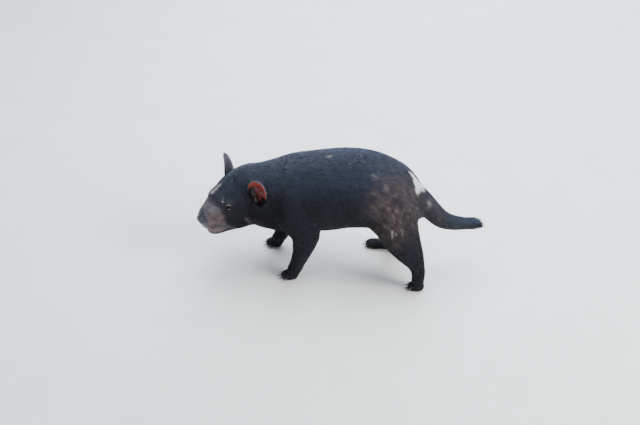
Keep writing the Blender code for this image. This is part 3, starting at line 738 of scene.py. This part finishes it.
def unwrapped_at(verts, faces, points, ratio):
    """Where points near a surface lie on an unwrap of it, made on a copy thinned to that ratio."""
    flat = mesh_object("unwrap", verts, faces)
    thin = flat.modifiers.new("thin", "DECIMATE")
    thin.ratio = ratio
    evaluated(flat, "unwrap")
    bpy.context.view_layer.objects.active = flat
    flat.select_set(True)
    bpy.ops.object.mode_set(mode="EDIT")
    bpy.ops.mesh.select_all(action="SELECT")
    bpy.ops.uv.smart_project(angle_limit=math.radians(60), island_margin=0.004)
    bpy.ops.object.mode_set(mode="OBJECT")
    trios = np.array([p.vertices[:] for p in flat.data.polygons])
    places = array(flat.data)
    uv = np.empty(len(flat.data.loops) * 2, np.float32)
    flat.data.uv_layers.active.data.foreach_get("uv", uv)
    uv = uv.reshape(-1, 3, 2)
    near = BVHTree.FromPolygons([Vector(p) for p in places], trios.tolist())
    bpy.data.objects.remove(flat)
    found = [near.find_nearest(Vector(p)) for p in points]
    nearest = np.array([f[2] for f in found])
    first, second, third = (places[trios[nearest, k]] for k in range(3))
    d0, d1, d2 = second - first, third - first, np.array([f[0] for f in found]) - first
    m00, m01, m11, m20, m21 = ((p * q).sum(1) for p, q in ((d0, d0), (d0, d1), (d1, d1), (d2, d0), (d2, d1)))
    det = np.maximum(m00 * m11 - m01 * m01, 1e-18)
    s, t = (m11 * m20 - m01 * m21) / det, (m00 * m21 - m01 * m20) / det
    return (uv[nearest] * np.stack([1 - s - t, s, t], 1)[:, :, None]).sum(1)


root_uv = unwrapped_at(spots, corners.tolist(), root, 0.03)


def fur_recipe(start):
    dice, tips = number(start, "dice"), number(start, "along").within(0.35, 1.0)
    grain = noise(start, place_of(start), 1500.0, 2.0)
    painted_sheen = number(start, "painted_sheen")
    # Painted sheen: lighter, bluer hair where the coat faces up, with a painted highlight on its tips.
    hair = dice.tint(painted_sheen.tint(FUR_BLACK, FUR_DARK), painted_sheen.tint(FUR_DULL, FUR_SHEEN_LIGHT))
    hair = (tips * painted_sheen * 0.24).tint(hair, FUR_TIP_SHEEN)
    hair = number(start, "brown").tint(hair, dice.tint(FUR_BROWN, FUR_WORN))
    hair = number(start, "tan").tint(hair, dice.tint(FUR_TAN, FUR_PALE))
    # Pale flecks, and the painted sheen on the forehead.
    hair = number(start, "fleck_and_sheen").tint(hair, FUR_PALE)
    hair = number(start, "white").tint(hair, tips.tint(FUR_CREAM, FUR_WHITE))
    rough = 0.12 * dice + (0.50 - 0.14 * painted_sheen)
    return {"Base Color": hair, "Roughness": rough, "Normal": bump(grain, 0.3, 0.0003)}


fur = finish_material(
    "fur",
    {"IOR": 1.42, "Sheen Weight": 0.08, "Sheen Roughness": 0.30, "Sheen Tint": (0.48, 0.64, 1.0, 1)},
    fur_recipe,
)


def coat_piece(name, tufts, dice, marked, uv_at_root):
    """One joined mesh of tufts, with their numbers and their bake patches."""
    count = len(tufts)
    mesh = bpy.data.meshes.new(name)
    mesh.vertices.add(count * POINTS)
    mesh.vertices.foreach_set("co", tufts.astype(np.float32).ravel())
    faces = (SPINDLE[None] + POINTS * np.arange(count)[:, None, None]).reshape(-1)
    mesh.loops.add(len(faces))
    mesh.loops.foreach_set("vertex_index", faces.astype(np.int32))
    mesh.polygons.add(len(faces) // 3)
    mesh.polygons.foreach_set("loop_start", np.arange(0, len(faces), 3, dtype=np.int32))
    mesh.polygons.foreach_set("use_smooth", np.ones(len(faces) // 3, bool))
    mesh.update(calc_edges=True)
    uv = mesh.uv_layers.new(name="OFBake")
    places = (uv_at_root[:, None] + spindle_uv[None]).reshape(-1, 2)
    uv.data.foreach_set("uv", places[faces].astype(np.float32).ravel())
    keep_number(mesh, "along", np.tile([0, BEND_AT, BEND_AT, BEND_AT, 1], count))
    keep_number(mesh, "dice", np.repeat(dice, POINTS))
    for mark, values in marked.items():
        keep_number(mesh, mark, np.repeat(values, POINTS))
    mesh.materials.append(fur)
    obj = bpy.data.objects.new(name, mesh)
    bpy.context.collection.objects.link(obj)
    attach(obj, "root")


kind_at = root_share.argmax(1)
for kind in KINDS:
    chosen = np.nonzero(kind_at == KINDS.index(kind))[0]
    chosen = chosen[np.argsort(root[chosen, 0], kind="stable")]
    for number_of, some in enumerate(np.array_split(chosen, math.ceil(len(chosen) / TUFTS_A_PIECE)), 1):
        marked = {mark: values[some] for mark, values in root_marks.items()}
        name = f"coat_{kind}_{number_of}"
        coat_piece(name, tufts[some], dice[some], marked, root_uv[some])


# Eyes.
# Small dark brown eyes, glossy and wet. Each is a ball of the size of its solid, set under the brow, and the
# lids round it belong to the skin.
def ball(name, centre, radius, material, rings=20, around=28):
    """A closed ball: rings of quads between two fans of triangles, from the top down."""
    verts = [(0, 0, radius)]
    for fall in np.linspace(0, math.pi, rings + 1)[1:-1]:
        for turn in 2 * math.pi * np.arange(around) / around:
            out = radius * math.sin(fall)
            verts.append((out * math.cos(turn), out * math.sin(turn), radius * math.cos(fall)))
    verts.append((0, 0, -radius))
    faces, bottom = [], len(verts) - 1
    for k in range(around):
        here, beside = 1 + k, 1 + (k + 1) % around
        faces.append((0, here, beside))
        for drop in range(0, (rings - 2) * around, around):
            faces.append((here + drop, here + drop + around, beside + drop + around, beside + drop))
        faces.append((bottom, beside + (rings - 2) * around, here + (rings - 2) * around))
    obj = mesh_object(name, np.array(verts) + np.array(centre), faces, material)
    obj.data.polygons.foreach_set("use_smooth", np.ones(len(faces), bool))
    return obj


def eye_recipe(start):
    depth = noise(start, place_of(start), 400.0)
    return {"Base Color": depth.within(0.3, 0.7).tint((0.004, 0.003, 0.003), (0.016, 0.009, 0.006))}


eye_finish = finish_material("eye", {"Roughness": 0.09, "IOR": 1.25}, eye_recipe)
for node in ("eye_left", "eye_right"):
    low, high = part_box(node)
    eye = ball(node + "_ball", (low + high) / 2, min(high - low) / 2, eye_finish)
    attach(eye, "root")
    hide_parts(node)


# Ears.
# Thin upright ears: short blue-grey hair outside, and bare red skin inside, painted darker into the bowl as
# shade, where loose pale hairs stand. The shell is the solid made smooth, and its hairs are tufts like the
# coat's.
EAR_OPENS = unit(np.array([[0.84, 0.54, 0.0]]))[0]  # the left one, in the head
EAR_VOXEL = 0.0008
EAR_COAT = (110.0, 0.0055, 0.00055)  # tufts per square centimetre, length, width
EAR_HAIRS, EAR_HAIR_LENGTH, EAR_HAIR_WIDTH = 170, (0.009, 0.017), 0.00042
EAR_HAIR_LIE = (-0.25, 0.0, 1.0)  # towards the tip and a little back, in the head


def ear_recipe(start):
    place = place_of(start)
    veins, fine = noise(start, place, 150.0, 4.0), noise(start, place, 1200.0, 2.0)
    red = veins.within(0.3, 0.7).tint((0.150, 0.016, 0.014), (0.340, 0.042, 0.034))
    # Painted shade, darkening the red skin deep in the ear.
    red = number(start, "ear_shade").tint(red, (0.022, 0.008, 0.009))
    colour = number(start, "inside").tint((0.022, 0.025, 0.036), red)
    return {"Base Color": colour, "Roughness": veins * 0.1 + 0.46, "Normal": bump(veins + fine, 0.3, 0.0005)}


ear_finish = finish_material("ear", {"IOR": 1.40}, ear_recipe)
ear_rng = np.random.default_rng(17)
for node, hand in (("ear_left", 1), ("ear_right", -1)):
    bm = bmesh.new()
    merged_copy(bm, node)
    mesh = bpy.data.meshes.new(node)
    bm.to_mesh(mesh)
    bm.free()
    ear = bpy.data.objects.new(node + "_shell", mesh)
    bpy.context.collection.objects.link(ear)
    remesh = ear.modifiers.new("remesh", "REMESH")
    remesh.mode, remesh.voxel_size = "VOXEL", EAR_VOXEL
    ear.modifiers.new("triangles", "TRIANGULATE")
    evaluated(ear, node + "_shell")
    places = averaged(array(ear.data), ends(ear.data), 10, 0.5)
    ear.data.vertices.foreach_set("co", places.astype(np.float32).ravel())
    ear.data.update()
    ups = array(ear.data, "normal")
    turn = np.array(HEAD.to_3x3())
    local, local_ups = in_head(places), ups @ turn
    inside = step(local_ups @ (EAR_OPENS * (1, hand, 1)), -0.05, 0.30)
    # where the painted shade falls: towards the front and low in the ear
    ear_shade = step(local[:, 0], -0.012, -0.004) * (1 - step(local[:, 2], 0.040, 0.052))
    keep_number(ear.data, "inside", inside)
    keep_number(ear.data, "ear_shade", ear_shade)
    ear.data.materials.clear()
    ear.data.materials.append(ear_finish)
    ear.data.polygons.foreach_set("use_smooth", np.ones(len(ear.data.polygons), bool))
    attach(ear, "root")
    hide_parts(node)

    trios = np.array([p.vertices[:] for p in ear.data.polygons])
    first, second, third = (places[trios[:, k]] for k in range(3))
    area = np.linalg.norm(np.cross(second - first, third - first), axis=1) / 2
    outer = area * (1 - inside[trios]).mean(1) * EAR_COAT[0] * 1e4
    inner = area * (inside * (1 - step(local[:, 2], 0.034, 0.046)))[trios].mean(1)
    on_back = ear_rng.choice(len(trios), int(outer.sum()), p=outer / outer.sum())
    in_bowl = ear_rng.choice(len(trios), EAR_HAIRS, p=inner / inner.sum())
    picked = np.concatenate([on_back, in_bowl])
    count, pale = len(picked), np.arange(len(picked)) >= len(on_back)
    at = (places[trios[picked]] * ear_rng.dirichlet((1, 1, 1), count)[:, :, None]).sum(1)
    up = unit(ups[trios[picked]].sum(1))
    to_the_tip = along_surface(np.tile(turn @ EAR_HAIR_LIE, (count, 1)), up)
    jitter = ear_rng.normal(0, 0.22, (count, 3))
    lying, standing = np.where(pale, 0.8, 1.0)[:, None], np.where(pale, 0.55, 0.10)[:, None]
    leaning = unit(to_the_tip * lying + up * standing + jitter)
    pale_length = ear_rng.uniform(*EAR_HAIR_LENGTH, count)
    long = np.where(pale, pale_length, EAR_COAT[1] * ear_rng.uniform(0.7, 1.2, count))
    slim = np.where(pale, EAR_HAIR_WIDTH, EAR_COAT[2])
    middle = at + leaning * (long * BEND_AT)[:, None] + up * (slim * 0.3)[:, None]
    hairs = spindles(at - up * 0.0004, middle, up, at + leaning * long[:, None], slim)
    marked = {name: np.zeros(count) for name in ("white", "brown", "tan")}
    # The ear hairs take the full painted sheen.
    marked |= {"painted_sheen": np.ones(count), "fleck_and_sheen": 0.16 + 0.44 * pale}
    uv_here = unwrapped_at(places, trios.tolist(), at, 0.3)
    coat_piece("coat_" + node, hairs, ear_rng.uniform(0.5, 1.0, count), marked, uv_here)


# Whiskers.
# Stiff whiskers on the muzzle, over the eyes, on the cheeks and on the chin, swept back. Each is a coarse
# hair, made as a thin tapered tube rooted in the skin, and all of them are one mesh.
WHISKERS = (  # root in the head's left half, how many, how far they spread, length
    ((0.096, 0.030, -0.022), 5, 0.0080, 0.052),
    ((0.088, 0.034, -0.028), 5, 0.0080, 0.056),
    (BROW_SPOT, 3, 0.0022, 0.030),
    ((0.040, 0.060, -0.025), 5, 0.0070, 0.046),
    ((0.090, 0.018, -0.062), 4, 0.0060, 0.026),
)
WHISKER_ROOT, WHISKER_TIP, WHISKER_JOINTS, WHISKER_SIDES = 0.00034, 0.00008, 9, 5


def whisker_recipe(start):
    tone = noise(start, place_of(start), 60.0)
    return {"Base Color": tone.within(0.4, 0.6).tint((0.030, 0.028, 0.032), (0.170, 0.160, 0.170))}


whisker_rng = np.random.default_rng(5)
whisker_finish = finish_material("whisker", {"Roughness": 0.35}, whisker_recipe)
verts, faces = [], []
for hand in (1, -1):
    for place, count, spread, reach in WHISKERS:
        for _ in range(count):
            wanted = np.array(place) * (1, hand, 1) + whisker_rng.uniform(-spread, spread, 3)
            at, up, _, _ = hide.find_nearest(Vector(from_head([wanted])[0]))
            up = np.array(up @ HEAD.to_3x3())
            way = unit(np.array([up * 0.85 + (-0.45, 0, -0.10) + whisker_rng.normal(0, 0.10, 3)]))[0]
            bend = np.array([-0.55, 0, -0.30]) + whisker_rng.normal(0, 0.10, 3)
            long = reach * whisker_rng.uniform(0.75, 1.15)
            t = np.linspace(0, 1, WHISKER_JOINTS)[:, None]
            line = in_head(np.array([at]))[0] - up * 0.001 + long * (way * t + bend * 0.5 * t**2)
            along = unit(np.gradient(line, axis=0))
            first = unit(np.cross(along, (0.1, 0.2, 1.0)))
            second = np.cross(along, first)
            base = len(verts)
            radii = WHISKER_ROOT + (WHISKER_TIP - WHISKER_ROOT) * t[:, 0]
            for p, one, two, radius in zip(line, first, second, radii):
                for k in range(WHISKER_SIDES):
                    angle = 2 * math.pi * k / WHISKER_SIDES
                    verts.append(p + radius * (one * math.cos(angle) + two * math.sin(angle)))
            for j in range(WHISKER_JOINTS - 1):
                for k in range(WHISKER_SIDES):
                    a, b = base + j * WHISKER_SIDES + k, base + j * WHISKER_SIDES + (k + 1) % WHISKER_SIDES
                    faces.append((a, b, b + WHISKER_SIDES, a + WHISKER_SIDES))
            faces.append(tuple(base + k for k in reversed(range(WHISKER_SIDES))))
            faces.append(tuple(base + (WHISKER_JOINTS - 1) * WHISKER_SIDES + k for k in range(WHISKER_SIDES)))
whiskers = mesh_object("whiskers", from_head(np.array(verts)), faces, whisker_finish)
whiskers.data.polygons.foreach_set("use_smooth", np.ones(len(faces), bool))
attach(whiskers, "root")


# Claws.
# Strong, blunt, slightly curved claws of dark horn with a fine grain. Each foot's claws are one mesh, made
# from their solids and rounded by subdivision.
def claw_recipe(start):
    grain = noise(start, place_of(start), 700.0)
    return {
        "Base Color": grain.within(0.3, 0.7).tint((0.050, 0.042, 0.040), (0.130, 0.110, 0.100)),
        "Roughness": grain * 0.15 + 0.30,
    }


claw_finish = finish_material("claw", {"IOR": 1.52}, claw_recipe)
for place in ("front_left", "front_right", "hind_left", "hind_right"):
    nodes = [n for n in sorted(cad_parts) if n.startswith("claw_" + place)]
    bm = bmesh.new()
    for node in nodes:
        merged_copy(bm, node)
    mesh = bpy.data.meshes.new("claws_" + place)
    bm.to_mesh(mesh)
    bm.free()
    claws = bpy.data.objects.new("claws_" + place, mesh)
    bpy.context.collection.objects.link(claws)
    rounded = claws.modifiers.new("rounded", "SUBSURF")
    rounded.levels = rounded.render_levels = 2
    evaluated(claws, "claws_" + place)
    claws.data.materials.clear()
    claws.data.materials.append(claw_finish)
    claws.data.polygons.foreach_set("use_smooth", np.ones(len(claws.data.polygons), bool))
    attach(claws, "root")
    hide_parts(*nodes)
